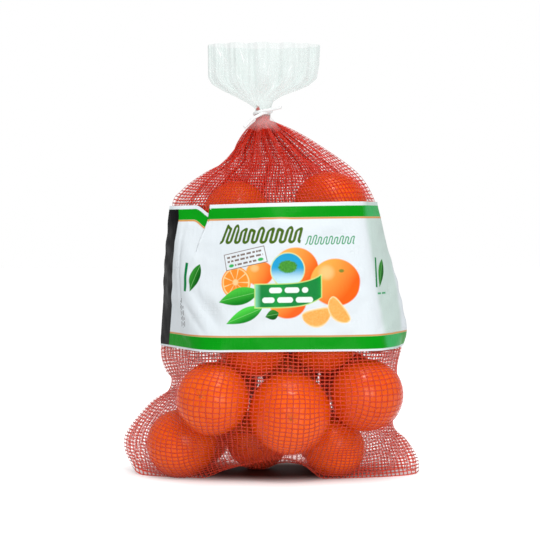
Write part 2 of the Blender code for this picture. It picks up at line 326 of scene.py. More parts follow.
def settleFruit():
    shown = list(mandarins["shown"].values())
    places = np.array(shown + list(mandarins["hidden"].values()), float)
    middles = places[:, :3].copy()
    radii = places[:, 3] / 2
    axes = fruitAxes(len(middles), len(shown))
    give = np.ones(len(middles))
    give[: len(shown)] = mandarins["shownGive"]
    down = np.array([0.0, 0.0, -1.0])
    for _ in range(300):
        for a in range(len(middles)):
            for b in range(a + 1, len(middles)):
                apart = middles[b] - middles[a]
                distance = np.linalg.norm(apart)
                way = apart / distance
                overlap = reach(way, axes[a], radii[a]) + reach(-way, axes[b], radii[b]) + 0.3 - distance
                if overlap > 0:
                    share = give[a] / (give[a] + give[b])
                    middles[a] -= way * overlap * share
                    middles[b] += way * overlap * (1 - share)
            lowest = reach(down, axes[a], radii[a]) * mandarins["floorSquash"]
            middles[a, 2] = max(middles[a, 2], lowest)
    return middles, radii, axes


def peelMaterial():
    paint = Paint("mandarin peel")
    place = paint.place()
    tone = paint.attribute("tone")
    fromStem = paint.attribute("fromStem")
    broad = paint.noise(place, 38.0)
    fine = paint.noise(place, 260.0)
    pores = paint.cells(place, 900.0)
    share = paint.clamped(tone * 0.55 + broad * 0.9 - 0.22 + fine * 0.12)
    peel = paint.mix(share, mandarins["deepOrange"], mandarins["brightOrange"])
    oilGlands = paint.span(pores, 0.0, 0.35, (1.0, 0.0))
    peel = paint.mix(oilGlands * 0.2, peel, (0.55, 0.05, 0.003))
    shoulder = paint.span(fromStem, 2.0, 8.0, (0.3, 0.0)) * paint.span(broad, 0.35, 0.6)
    peel = paint.mix(shoulder, peel, (0.62, 0.22, 0.02))
    # painted shade: the peel is painted darker on its lowest part, near the floor
    low = paint.span(paint.split(place)[2], 0.001, 0.016, (0.55, 0.0))
    peel = paint.mix(low, peel, (0.30, 0.016, 0.002))
    width = mandarins["buttonWidth"]
    button = paint.span(fromStem, width / 2 - 0.3, width / 2 + 0.3, (1.0, 0.0))
    peel = paint.mix(button * 0.8, peel, mandarins["stemBrown"])
    roughness = broad * 0.12 + (mandarins["roughness"] - 0.06) + oilGlands * 0.1 + button * 0.3
    height = paint.span(pores, 0.0, 0.42) * 0.6 + paint.noise(place, 420.0) * 0.5
    paint.set(baseColor=peel, roughness=roughness, normal=paint.bump(height, 0.0002, 0.5))
    paint.set(subsurfaceWeight=0.12, subsurfaceScale=0.002, subsurfaceRadius=(1.0, 0.35, 0.1), ior=1.45)
    paint.set(specular=0.3)
    return paint.material


def fruitMesh(name, middle, radius, axis, seed, material):
    around = mandarins["around"]
    random = np.random.default_rng(seed)
    near = np.array([0.0, 0.5, 1.0, 1.6, 2.1, 2.7, 3.6, 5.0, 7.0]) / radius  # rings close to the stem
    far = np.linspace(near[-1], math.pi, mandarins["along"] - 8)[1:-1]
    angles = np.concatenate([near, far, [math.pi - 0.001]])
    polar, turn = np.meshgrid(angles, turns(around), indexing="ij")
    side = unit(np.cross(axis, [0.3, 0.2, 1.0]))
    other = np.cross(axis, side)
    ways = (np.cos(polar)[..., None] * axis + (np.sin(polar) * np.cos(turn))[..., None] * side
            + (np.sin(polar) * np.sin(turn))[..., None] * other)
    size = reach(ways, axis, radius)
    size *= 1 + mandarins["lumps"] * waves(ways, 1.7, seed) * 0.6
    furrows = np.cos(random.integers(8, 11) * turn + 1.3 * np.sin(2 * turn + seed))
    size += radius * mandarins["shoulderFurrows"] * furrows * np.exp(-(((polar - 0.35) / 0.3) ** 2))
    size -= mandarins["stemDimple"] * np.exp(-((polar * radius / 6.0) ** 2))
    size += 0.9 / (1 + np.exp((polar * radius - mandarins["buttonWidth"] / 2) * 4))
    size -= 0.5 * np.exp(-(((math.pi - polar) * radius / 4.0) ** 2))
    points = middle + ways * size[..., None]
    points[..., 2] = np.maximum(points[..., 2], 0.62)
    rows = len(angles)
    faces = gridFaces(rows, around, True)
    piece = addMesh(name, points, faces, material)
    addNumbers(piece, "tone", np.full(rows * around, random.uniform(0, 1)))
    addNumbers(piece, "fromStem", (polar * radius).ravel())
    return piece


def buildFruit(fruit):
    material = peelMaterial()
    names = [*mandarins["shown"], *mandarins["hidden"]]
    pieces = []
    for number, (name, middle, radius, axis) in enumerate(zip(names, *fruit)):
        stem = axis if name in mandarins["stemShown"] else -axis
        pieces.append(fruitMesh("mandarin_" + name, middle, radius - 0.1, stem, 20 + number, material))
    return pieces


def pushOut(points, fruit, clearance):
    for middle, radius, axis in zip(*fruit):
        away = points - middle
        distance = np.linalg.norm(away, axis=-1, keepdims=True)
        way = away / np.maximum(distance, 1e-6)
        least = reach(way, axis, radius)[..., None] + clearance
        points = np.where(distance < least, middle + way * least, points)
    return points


def gridNormals(grid):
    across = np.roll(grid, -1, axis=1) - np.roll(grid, 1, axis=1)
    return unit(np.cross(across, np.gradient(grid, axis=0)))


def creaseAcross(heights):
    # where the left and right creases are at these heights
    lines = [smoothCurve(net[side], 200) for side in ("leftCrease", "rightCrease")]
    return [np.interp(heights, line[:, 1], line[:, 0]) for line in lines]


def bandTilt(points):
    share = (points[..., 2] - band["bottom"]) / (band["top"] - band["bottom"])
    return band["tilt"] * points[..., 0] * share


def bandSurface(fruit, rows, columns):
    # the taut hull of the mandarins and the creases at the band, as rings from the left crease by the front
    random = np.random.default_rng(3)
    ways = unit(random.normal(size=(700, 3)))
    cloud = []
    for middle, radius, axis in zip(*fruit):
        cloud.append(middle + ways * (reach(ways, axis, radius) + 0.7)[:, None])
    creaseHeights = np.linspace(band["bottom"] - 14, band["top"] + 8, 60)
    for edge in creaseAcross(creaseHeights):
        cloud.append(np.column_stack([edge, np.full(60, net["creaseDepth"]), creaseHeights]))
    cloud = np.vstack(cloud)
    cloud[:, 2] -= bandTilt(cloud)
    edges = np.linspace(band["bottom"] - 14, band["top"] + 10, 33)
    level = (edges[:-1] + edges[1:]) / 2
    angles = np.linspace(0, 2 * math.pi, 720, endpoint=False)
    across = np.column_stack([np.cos(angles), np.sin(angles)])
    reached = []
    for low, high in zip(edges, edges[1:]):
        inside = (cloud[:, 2] >= low) & (cloud[:, 2] < high)
        reached.append((cloud[inside][:, :2] @ across.T).max(axis=0))
    reached = np.array(reached)
    rings = []
    for height in np.linspace(band["bottom"], band["top"], rows):
        below = level <= height
        share = (height - level[below])[:, None] / (level[~below][None] - level[below][:, None])
        spans = reached[below][:, None] * (1 - share[..., None]) + reached[~below][None] * share[..., None]
        support = spans.max(axis=(0, 1))
        slope = (np.roll(support, -1) - np.roll(support, 1)) / (angles[2] - angles[0])
        sideways = np.column_stack([-across[:, 1], across[:, 0]])
        outline = support[:, None] * across + slope[:, None] * sideways
        rings.append(splitRing(outline, height, columns))
    surface = np.array(rings)
    for _ in range(3):
        smooth = (np.roll(surface, 1, axis=1) + np.roll(surface, -1, axis=1) + 2 * surface) / 4
        smooth[:, [0, columns // 2]] = surface[:, [0, columns // 2]]
        inner = (smooth[:-2] + smooth[2:] + 2 * smooth[1:-1]) / 4
        surface = np.concatenate([smooth[:1], inner, smooth[-1:]])
    surface[..., 2] += bandTilt(surface)
    return pushOut(surface, fruit, 1.1)


def splitRing(outline, height, columns):
    left = np.argmin(outline[:, 0])
    right = np.argmax(outline[:, 0])
    turned = np.roll(outline, -left, axis=0)
    turn = (right - left) % len(outline)
    front = evenPoints(turned[: turn + 1], columns // 2 + 1)
    back = evenPoints(np.vstack([turned[turn:], turned[:1]]), columns // 2 + 1)
    ring = np.vstack([front[:-1], back[:-1]])
    return np.column_stack([ring, np.full(len(ring), height)])


def seamRing(columns):
    half = columns // 2
    share = np.linspace(0, 1, half + 1)
    x = np.linspace(net["leftCrease"][0][0], net["rightCrease"][0][0], half + 1)
    y = net["creaseDepth"] - net["seamForward"] * np.sin(math.pi * share) ** 0.4
    seam = smoothCurve(net["seamLine"], 300)
    z = np.maximum(np.interp(x, seam[:, 0], seam[:, 1]), 0.3)
    line = np.column_stack([x, y, z])
    apart = np.array([0, net["layerGap"] / 2, 0])
    return np.vstack([line[:1], line[1:-1] - apart, line[-1:], line[-2:0:-1] + apart])


def neckRing(columns, height):
    angle = math.pi + 2 * math.pi * np.arange(columns) / columns
    x = net["neck"][0] + net["neckRadius"] * np.cos(angle)
    y = net["neck"][1] + net["neckRadius"] * np.sin(angle)
    return np.column_stack([x, y, np.full(columns, float(height))])


def creaseRun(side, low, high, rows):
    line = smoothCurve(net[side], 400)
    start = np.argmin(np.abs(line[:, 1] - low))
    end = np.argmin(np.abs(line[:, 1] - high))
    run = evenPoints(line[start : end + 1], rows)
    return np.column_stack([run[:, 0], np.full(rows, net["creaseDepth"]), run[:, 1]])


def between(first, last, rows, bulge):
    share = np.linspace(0, 1, rows)[:, None, None]
    grid = first * (1 - share) + last * share
    around = np.sin(turns(len(first)))
    swell = np.sin(math.pi * share[..., 0]) ** 0.5
    grid[..., 1] += swell * np.where(around > 0, -bulge[0], bulge[1]) * np.abs(around) ** 0.4
    return grid


def drape(grid, fruit, rounds):
    # draws the net tight over the fruit, between its first and last rows and its two side creases
    columns = grid.shape[1]
    half = columns // 2
    creased = [0, half]
    held = grid[:, creased].copy()
    first = grid[0].copy()
    last = grid[-1].copy()
    front = np.arange(1, half)
    back = columns - front
    for _ in range(rounds):
        mean = (np.roll(grid, 1, axis=1) + np.roll(grid, -1, axis=1)) / 4
        mean[1:-1] += (grid[:-2] + grid[2:]) / 4
        grid[1:-1] = mean[1:-1]
        grid = pushOut(grid, fruit, net["clearance"])
        grid[..., 2] = np.maximum(grid[..., 2], 0.3)
        short = np.maximum(net["layerGap"] - (grid[:, back, 1] - grid[:, front, 1]), 0) / 2
        grid[:, front, 1] -= short
        grid[:, back, 1] += short
        grid[:, creased] = held
        grid[0] = first
        grid[-1] = last
    return grid


def finer(grid, rows, columns):
    # the same rings with more rows and columns
    wantedRows = np.linspace(0, len(grid) - 1, rows)
    low = np.minimum(wantedRows.astype(int), len(grid) - 2)
    share = (wantedRows - low)[:, None, None]
    grid = grid[low] * (1 - share) + grid[low + 1] * share
    wanted = np.arange(columns) / columns * grid.shape[1]
    low = wanted.astype(int)
    share = (wanted - low)[None, :, None]
    return grid[:, low] * (1 - share) + grid[:, (low + 1) % grid.shape[1]] * share


def drapeFiner(first, last, rows, bulge, fruit):
    # half of the rings settle first, then all of them
    grid = between(first[::2], last[::2], (rows + 1) // 2, bulge)
    for part, rounds in ((2, 340), (1, 80)):
        if part == 1:
            grid = finer(grid, rows, len(first))
        low = first[::part]
        high = last[::part]
        for column, side in ((0, "leftCrease"), (len(low) // 2, "rightCrease")):
            grid[:, column] = creaseRun(side, low[column, 2], high[column, 2], len(grid))
        grid[0] = low
        grid[-1] = high
        grid = drape(grid, fruit, rounds)
    return grid


def pleated(upper, fruit):
    rows, columns = upper.shape[:2]
    up = np.linspace(0, 1, rows)[:, None]
    turn = turns(columns)
    calm = np.minimum(1, 2.5 * np.abs(np.sin(turn)))
    swell = np.sin(math.pi * up**1.6) ** 1.2
    broad = np.sin(net["pleats"] * turn + 0.9 * np.sin(3 * turn)) * net["pleatDepth"] * swell
    sharp = np.sin(33 * turn + 2.1 * np.sin(2 * turn) + 3 * up) * 1.7 * swell
    sharp *= np.clip(up * 1.6 - 0.25, 0, 1)
    folded = upper + gridNormals(upper) * ((broad + sharp) * calm)[..., None]
    half = columns // 2
    folded[:, [0, half]] = upper[:, [0, half]]
    folded = pushOut(folded, fruit, net["clearance"])
    folded[0] = upper[0]
    folded[-1] = upper[-1]
    return folded


def netGrid(fruit, surface):
    columns = net["columns"]
    under = finer(surface, net["bandRows"], columns)
    under -= gridNormals(under) * (band["gap"] + 0.35)
    lower = drapeFiner(seamRing(columns), under[0], net["lowerRows"], net["lowerBulge"], fruit)
    neck = neckRing(columns, net["neckStart"])
    upper = drapeFiner(under[-1], neck, net["upperRows"], net["upperBulge"], fruit)
    upper = pleated(upper, fruit)
    rings = []
    turn = turns(columns)
    loose = np.exp(-(((turn - 0.9) / 0.4) ** 2)) * (0.6 + 0.4 * np.sin(5 * np.arange(columns)))
    for rise, stretch, flare in ((2.4, 0, 0), (4.4, 0, 0), (4.5, 4.5, 0.1), (4.6, 8.5, 0.35)):
        ring = neckRing(columns, net["neckStart"] + rise)
        ring[:, 2] += stretch * loose  # a few strand ends stand up beside the tie
        ring[:, :2] += (ring[:, :2] - net["neck"]) * (flare * loose)[:, None]
        rings.append(ring)
    return np.concatenate([lower[:-1], under, upper[1:], np.array(rings)])


def jiggled(grid):
    # the knots slip a little, so the cells aren't all alike
    across = unit(np.roll(grid, -1, axis=1) - np.roll(grid, 1, axis=1))
    up = unit(np.gradient(grid, axis=0))
    slip = waves(grid, 26, 5)[..., None] * 0.55 * across + waves(grid, 21, 6)[..., None] * 0.5 * up
    random = np.random.default_rng(11)
    slip += random.normal(size=grid.shape[:2])[..., None] * 0.10 * across
    slip += random.normal(size=grid.shape[:2])[..., None] * 0.10 * up
    slip[:2] = 0
    slip[-9:] = 0
    slip[:, [0, grid.shape[1] // 2]] = 0
    return grid + slip


def strands(lines, normals, closed, lift):
    # flat tapes with four corners along each line; lines holds (line, point, xyz)
    thickness = net["strandThickness"]
    along = np.gradient(lines, axis=1)
    if closed:
        along = np.roll(lines, -1, axis=1) - np.roll(lines, 1, axis=1)
    side = unit(np.cross(unit(along), normals))
    middle = lines + normals * lift
    towardsNeck = np.clip((lines[..., 2:] - band["top"]) / (net["neckStart"] - band["top"]), 0, 1)
    width = net["strandWidth"] * (1 - net["neckNarrowing"] * towardsNeck)
    corners = [side * width / 2, normals * thickness / 2, side * -width / 2, normals * -thickness / 2]
    points = np.stack([middle + corner for corner in corners], axis=2)
    count, steps = lines.shape[:2]
    last = steps if closed else steps - 1
    line, step, corner = np.meshgrid(np.arange(count), np.arange(last), np.arange(4), indexing="ij")
    here = (line * steps + step) * 4
    beyond = (line * steps + (step + 1) % steps) * 4
    a = here + corner
    b = here + (corner + 1) % 4
    c = beyond + (corner + 1) % 4
    d = beyond + corner
    return points.reshape(-1, 3), np.stack([a, d, c, b], axis=-1).reshape(-1, 4)


def netMaterial():
    paint = Paint("red net plastic")
    place = paint.place()
    streak = paint.noise(place, 120.0)
    wear = paint.noise(place, 900.0, 1.0)
    red = paint.mix(streak, net["red"], net["brightRed"])
    above = paint.span(paint.split(place)[2], 0.21, 0.25)
    # painted light: the strands below the band are painted paler than those above it
    red = paint.mix(0.6 - above * 0.6, red, net["paintedLightRed"])
    red = paint.mix(paint.span(wear, 0.62, 0.75) * 0.25, red, (0.80, 0.22, 0.17))
    paint.set(baseColor=red, roughness=wear * 0.16 + (net["roughness"] - 0.08), ior=1.45, specular=0.35)
    low, high = net["opacity"]
    paint.set(alpha=above * (high - low) + low)
    paint.set(subsurfaceWeight=0.15, subsurfaceScale=0.001, subsurfaceRadius=(1.0, 0.3, 0.2))
    return paint.material


def gatherGrid(fruit, depth, share, seed):
    # the net's slack, gathered in folds inside the cone below the tie
    low = band["top"] - 14
    high = net["neckStart"]
    rows = int((high - low) / net["gatherPitch"])
    columns = int(180 * share / net["gatherPitch"])
    heights = np.linspace(low, high, rows)
    left, right = creaseAcross(heights)
    up = np.linspace(0, 1, rows)[:, None]
    half = np.maximum((right - left) / 2 * share, 3)[:, None]
    middle = ((left + right) / 2)[:, None] * (1 - up**2) + net["neck"][0] * up**2
    across = np.linspace(-1, 1, columns)[None]
    folds = np.sin(across * 17 + 1.5 * np.sin(3 * across + seed)) + 0.5 * np.sin(across * 41 + seed)
    x = middle + half * (across + 0.03 * np.sin(across * 23 + seed))
    y = net["neck"][1] + (depth - net["neck"][1]) * (1 - up) ** 0.7 + folds * 2.6 * (1 - up) ** 0.5
    grid = np.stack([x, y, np.broadcast_to(heights[:, None], x.shape)], axis=-1)
    return pushOut(grid, fruit, 0.3)


def slackGrid(fruit):
    # the loose layer between the front and back, which shows in the fins and between the mandarins
    rows = int(band["bottom"] / net["slackPitch"])
    columns = int(236 / net["slackPitch"])
    heights = np.linspace(0, band["bottom"] + 4, rows)
    left, right = creaseAcross(heights)
    across = np.linspace(-0.985, 0.985, columns)[None]
    x = ((left + right) / 2)[:, None] + ((right - left) / 2)[:, None] * across
    seam = smoothCurve(net["seamLine"], 300)
    z = np.maximum(heights[:, None], np.interp(x, seam[:, 0], seam[:, 1]) + 0.6)
    y = net["creaseDepth"] + (net["slackDepth"] - net["creaseDepth"]) * (1 - across**2) * np.ones_like(x)
    grid = np.stack([x, y, z], axis=-1)
    grid += waves(grid, 24, 81)[..., None] * [0.8, 0.3, 0.8]
    return pushOut(grid, fruit, 0.3)


def buildSlack(fruit, material):
    grids = []
    for seed, (depth, share) in enumerate(net["gathers"]):
        grids.append(gatherGrid(fruit, depth, share, 2.3 * seed))
    points = []
    faces = []
    count = 0
    for grid in [*grids, slackGrid(fruit)]:
        normals = unit(np.cross(np.gradient(grid, axis=1), np.gradient(grid, axis=0)))
        for lines, ways in ((grid, normals), (grid.transpose(1, 0, 2), normals.transpose(1, 0, 2))):
            places, corners = strands(lines, ways, False, 0.0)
            points.append(places)
            faces.append(corners + count)
            count += len(places)
    return addMesh("net_slack", np.vstack(points), np.vstack(faces), material)


def buildNet(grid, fruit):
    material = netMaterial()
    grid = jiggled(grid)
    normals = gridNormals(grid)
    points, faces = strands(grid.transpose(1, 0, 2), normals.transpose(1, 0, 2), False, 0.1)
    warp = addMesh("net_upright_strands", points, faces, material)
    points, faces = strands(grid, normals, True, -0.1)
    weft = addMesh("net_cross_strands", points, faces, material)
    return [warp, weft, buildSlack(fruit, material)]


def onSurface(rings, arcs, across, up):
    # the points of the band's surface at these places on the flat print
    place = np.clip(up / (band["top"] - band["bottom"]), 0, 1) * (len(rings) - 1)
    low = np.minimum(place.astype(int), len(rings) - 2)
    share = (place - low)[:, None]
    points = np.empty((len(across), 3))
    for row in np.unique(low):
        here = low == row
        ends = []
        for ring, arc in zip(rings[row : row + 2], arcs[row : row + 2]):
            ends.append(np.column_stack([np.interp(across[here], arc, ring[:, k]) for k in range(3)]))
        points[here] = ends[0] * (1 - share[here]) + ends[1] * share[here]
    return points


def bandSheet(surface):
    # rings of the sheet with its tuck, and each point's place on the flat print
    half = surface.shape[1] // 2
    rings = [np.vstack([ring, ring[:1]]) for ring in surface]
    arcs = []
    for ring in rings:
        arc = np.concatenate([[0], np.cumsum(np.linalg.norm(np.diff(ring[:, :2], axis=0), axis=1))])
        front = slice(half + 1)
        arcs.append(arc - np.interp(band["middle"], ring[front, 0], arc[front]))
    first = np.array([arc[0] for arc in arcs])
    last = np.array([arc[-1] for arc in arcs])
    left = band["leftColumns"]
    tuck = band["tuckColumns"]
    right = band["rightColumns"]
    points = []
    printed = []
    outwards = []
    foldEnd, foldTop = band["tuckEnd"], band["tuckTop"]
    for share in np.linspace(0, 1, band["rows"]):
        v = share * (band["top"] - band["bottom"])
        place = share * (len(rings) - 1)
        start = np.interp(place, np.arange(len(rings)), first)
        end = np.interp(place, np.arange(len(rings)), last)
        depth = np.clip((v - foldEnd[1]) / (foldTop[1] - foldEnd[1]), 0, 1)
        depth = depth * depth * (3 - 2 * depth)
        fold = np.interp(v, [foldEnd[1], foldTop[1]], [foldEnd[0], foldTop[0]])
        over = band["tuckOverlap"] * depth - 2 * (1 - depth)
        leftPart = np.linspace(start, fold + over, left)
        tuckPart = np.linspace(fold + over, fold, tuck + 2)[1:-1]
        rightPart = np.linspace(fold, end, right)
        at = np.concatenate([leftPart, tuckPart, rightPart])
        over = 0.25 + 0.75 * np.exp(-(rightPart - fold) / 9)
        lift = np.concatenate([np.zeros(left), np.linspace(0, 1, tuck), over]) * 1.1 * depth
        near = np.clip((leftPart - fold + band["dipWidth"]) / band["dipWidth"], 0, 1.3)
        near = near * near * (3 - 2 * np.minimum(near, 1))
        drop = np.concatenate([near, np.linspace(1.2, 0, tuck), np.zeros(right)])
        height = v - band["tuckDip"] * drop * depth
        line = onSurface(rings, arcs, at, height)
        along = unit(onSurface(rings, arcs, at + 1.5, height) - onSurface(rings, arcs, at - 1.5, height))
        outward = unit(np.column_stack([along[:, 1], -along[:, 0], np.zeros(len(at))]))
        points.append(line + outward * (band["gap"] + lift)[:, None])
        outwards.append(outward)
        printed.append(np.column_stack([at, np.full(len(at), v), lift]))
    return np.array(points), np.array(printed), np.array(outwards)


def creased(points, printed, normals):
    # soft valleys, puckers along the edges and slow undulation, all along the sheet's normals
    u = printed[..., 0]
    v = printed[..., 1]
    depth = band["undulation"] * waves(points, 70, 41)
    depth += 0.35 * waves(points * [1, 1, 2.2], 26, 42)
    edge = np.exp(-v / 9) + np.exp(-(band["top"] - band["bottom"] - v) / 9)
    depth += 0.5 * edge * waves(points * [2.4, 2.4, 0.3], 34, 43)
    for start, end, width, drop in bandCreases:
        start = np.array(start)
        run = np.array(end) - start
        share = np.clip(((u - start[0]) * run[0] + (v - start[1]) * run[1]) / (run @ run), 0, 1)
        away = np.hypot(u - start[0] - share * run[0], v - start[1] - share * run[1])
        depth -= drop * np.sin(math.pi * np.clip(share * 0.9 + 0.05, 0, 1)) * np.exp(-((away / width) ** 2))
    depth += 0.6
    return points + normals * np.maximum(depth, -0.1)[..., None]


bandCreases = [
    # start and end on the print, half width and depth
    ((-72, 55), (-40, 18), 3.2, 1.9),
    ((-78, 40), (-50, 10), 2.6, 1.5),
    ((-80, 108), (-84, 20), 1.6, 1.2),
    ((-70, 70), (-58, 38), 2.4, 1.0),
    ((79, 122), (86, 42), 4.0, 1.5),
    ((60, 30), (98, 18), 3.0, 0.9),
    ((-10, 12), (20, 6), 2.5, 0.7),
]


bandPrint = {
    # places are (across, up) on the flat sheet, from the middle of the front and the sheet's lower edge
    "white": (0.72, 0.77, 0.80),
    "stripeGreen": (0.001, 0.29, 0.006),
    "lineOrange": (0.62, 0.25, 0.03),
    "stripBlack": (0.005, 0.005, 0.006),
    "markGreen": (0.003, 0.19, 0.05),
    "greenStripes": ((1.6, 11.6), (107.4, 116.4)),
    "orangeLines": ((11.6, 12.9), (106.0, 107.4)),
    # ends, height, swing, number of turns, half width and colour of each wavy flourish
    "flourishes": (
        ((-42, 26), 93.0, 4.2, 9, 1.15, (0.060, 0.13, 0.010)),
        ((29, 71), 88.5, 2.1, 9, 0.5, (0.07, 0.33, 0.16)),
    ),
    "lightPeel": (0.93, 0.42, 0.075),
    "deepPeel": (0.84, 0.115, 0.008),
    "wholeFruit": (
        # middle, radii, and how much lighter the lower side is; the first lies behind the slice
        ((-8.5, 63.0), (11.0, 10.0), 0.2),
        ((20.3, 64.9), (18.9, 18.4), 0.0),
        ((53.2, 55.0), (21.0, 18.8), 0.0),
        ((14.0, 39.5), (15.0, 13.0), 0.0),
    ),
    "leaves": (
        # tip, root, width, shade
        ((-41.9, 39.6), (-9.0, 49.0), 13.5, 1.0),
        ((-4.0, 28.0), (7.0, 31.0), 8.0, 0.45),
        ((-35.0, 22.5), (-6.0, 36.0), 11.0, 1.15),
    ),
    "leafGreens": ((0.005, 0.20, 0.012), (0.06, 0.52, 0.05)),
    "bannerEnds": (-12.3, 41.3),
    "bannerBars": (
        # height and ends of the bars in each row
        (49.2, ((-1, 9.4), (11.6, 23.4), (25.6, 30.6))),
        (41.4, ((-6.5, 3.4), (5.6, 18.4), (20.6, 34.5))),
    ),
    "sideMarks": ((-73.5, 60.0), (93.5, 62.0)),
}


def ovalAt(u, v, middle, radii):
    # place within an oval, and how far outside it that is
    x = (u - middle[0]) / radii[0]
    y = (v - middle[1]) / radii[1]
    return x, y, ((x * x + y * y) ** 0.5 - 1) * min(radii)


def turned(u, v, middle, degrees):
    c = math.cos(math.radians(degrees))
    s = math.sin(math.radians(degrees))
    return (u - middle[0]) * c + (v - middle[1]) * s, (v - middle[1]) * c - (u - middle[0]) * s


def outside(value, low, high):
    # how far outside this range a value is, and below zero inside it
    return abs(value - (low + high) / 2) - (high - low) / 2


class Print(Paint):  # shapes laid one on another on the flat sheet, u across it and v up it
    def __init__(self, name):
        super().__init__(name)
        self.u, self.v, _ = self.split(self.attribute("printPlace", "Vector"))
        self.flat = self.join(self.u, self.v)
        self.grain = self.noise(self.flat, 0.6)
        self.colour = self.mix(self.noise(self.flat, 0.03, 1.0), bandPrint["white"], (0.69, 0.75, 0.79))

    def lay(self, share, shade):
        self.colour = self.mix(share, self.colour, shade)

    def edge(self, away, soft=0.3):  # 1 where away is below zero and 0 above it
        return self.clamped(0.5 - away / (2 * soft))

    def fill(self, away, shade, soft=0.3):
        self.lay(self.edge(away, soft), shade)

    def within(self, value, low, high, soft=0.3):
        return self.edge(outside(value, low, high), soft)

    def larger(self, a, b):
        return self.math("MAXIMUM", a, b)

    def sine(self, value):
        return self.math("SINE", value)

    def oval(self, middle, radii):
        return ovalAt(self.u, self.v, middle, radii)

    def fruit(self, middle, radii, tilt):
        x, y, away = self.oval(middle, radii)
        shade = self.clamped(0.52 + x * 0.50 - y * (0.42 - tilt) + (x * x + y * y) * 0.12)
        peel = self.mix(shade, bandPrint["lightPeel"], bandPrint["deepPeel"])
        glow = self.span((x + 0.35) ** 2 + (y - 0.42) ** 2, 0.0, 0.16, (0.45, 0.0))
        self.fill(away, self.mix(glow, peel, (1.0, 0.72, 0.36)), 0.5)

    def slice(self, middle, radius):
        x, y, away = self.oval(middle, (radius, radius))
        self.fill(away, (0.92, 0.30, 0.03))
        self.fill(away + 0.9, (0.98, 0.60, 0.28))
        spokes = abs(self.sine(self.math("ARCTAN2", y, x) * 4.5))
        flesh = self.span(spokes, 0.10, 0.34) * self.edge(away + 2.0)
        self.lay(flesh * self.span((x * x + y * y) ** 0.5, 0.14, 0.26), (0.93, 0.27, 0.03))

    def segment(self, middle, degrees, long, wide):
        x, y = turned(self.u, self.v, middle, degrees)
        arch = y + (x / long) ** 2 * wide * 0.9 - wide * 0.12
        away = abs(arch) - wide / 2 * (1 - (x / long * 2) ** 2) ** 0.5
        away = self.larger(away, abs(x) - long / 2)
        self.fill(away, (0.99, 0.66, 0.34), 0.4)
        self.fill(away + 1.1, self.mix(self.grain, (0.95, 0.30, 0.035), (0.99, 0.52, 0.16)), 0.5)

    def leaf(self, tip, root, width, shade):
        run = np.array(root) - np.array(tip)
        long = float(np.linalg.norm(run))
        middle = ((tip[0] + root[0]) / 2, (tip[1] + root[1]) / 2)
        x, y = turned(self.u, self.v, middle, math.degrees(math.atan2(run[1], run[0])))
        share = x / long * 2
        belly = self.larger(1 - share * share, -0.2) * (1.0 + share * 0.25)
        away = self.larger(abs(y) - belly * width / 2, abs(x) - long / 2)
        dark, light = (tuple(level * shade for level in green) for green in bandPrint["leafGreens"])
        green = self.mix(self.clamped(0.5 + y / width * 1.4), dark, light)
        vein = self.edge(abs(y + share * 0.6) - 0.18, 0.2) * 0.6
        self.fill(away, self.mix(vein, green, (0.30, 0.72, 0.25)))

    def flourish(self, ends, height, swing, bends, half, shade):
        # a leaning line that winds up and down in round bends
        start, end = ends
        pitch = (end - start) / bends
        above = self.v - height
        lean = self.u - above * 0.3
        share = (lean - start) / (end - start)
        straight = swing * self.span(share, 0.0, 0.3, (1.7, 0.8)) * (1 + self.sine(lean * 0.55) * 0.3)
        inTop = abs(self.math("WRAP", lean - start, pitch, 0.0) - pitch / 2)
        inFoot = pitch / 2 - inTop
        overTop = self.larger(above - straight, 0.0)
        underFoot = self.larger(-above - swing * 0.8, 0.0)
        top = abs((inTop * inTop + overTop * overTop) ** 0.5 - pitch / 4)
        foot = abs((inFoot * inFoot + underFoot * underFoot) ** 0.5 - pitch / 4)
        away = foot + (top - foot) * self.math("GREATER_THAN", above, 0.0)
        self.fill(self.larger(away - half, outside(lean, start, end)), shade, 0.25)

    def stamp(self):  # tilted, with rows of dashes
        x, y = turned(self.u, self.v, (-20.8, 75.0), 12)
        rim = self.larger(abs(x) - 17.5, abs(y) - 6.4)
        self.fill(rim, bandPrint["white"], 0.2)
        self.fill(abs(rim) - 0.28, (0.16, 0.11, 0.10), 0.2)
        for high, seed, reachOut in ((3.4, 1.1, 15.4), (0.1, 2.3, 15.4), (-3.6, 3.9, 9.4)):
            dashes = self.sine(x * 2.3 + seed) + self.sine(x * 1.37 + seed * 2)
            dashes = self.span(dashes, -0.75, -0.5) * self.within(x, -reachOut, reachOut)
            self.lay(dashes * self.within(y, high - 0.75, high + 0.75, 0.2), (0.20, 0.15, 0.13))
        for side in (-12.6, 12.8):
            self.fill(ovalAt(x, y, (side, -3.5), (2.2, 1.3))[2], (0.04, 0.42, 0.10))

    def disc(self):
        _, y, away = self.oval((14.0, 65.5), (14.0, 14.0))
        self.fill(away, (0.62, 0.76, 0.36))
        sky = self.mix(self.span(y, -0.65, 0.2), (0.55, 0.78, 0.86), (0.012, 0.33, 0.60))
        self.fill(away + 0.8, sky)
        crown = self.oval((14.0, 68.0), (7.6, 5.0))[2] + self.grain * 1.6 - 0.8
        self.fill(crown, self.mix(self.grain, (0.01, 0.14, 0.02), (0.10, 0.42, 0.04)), 0.5)

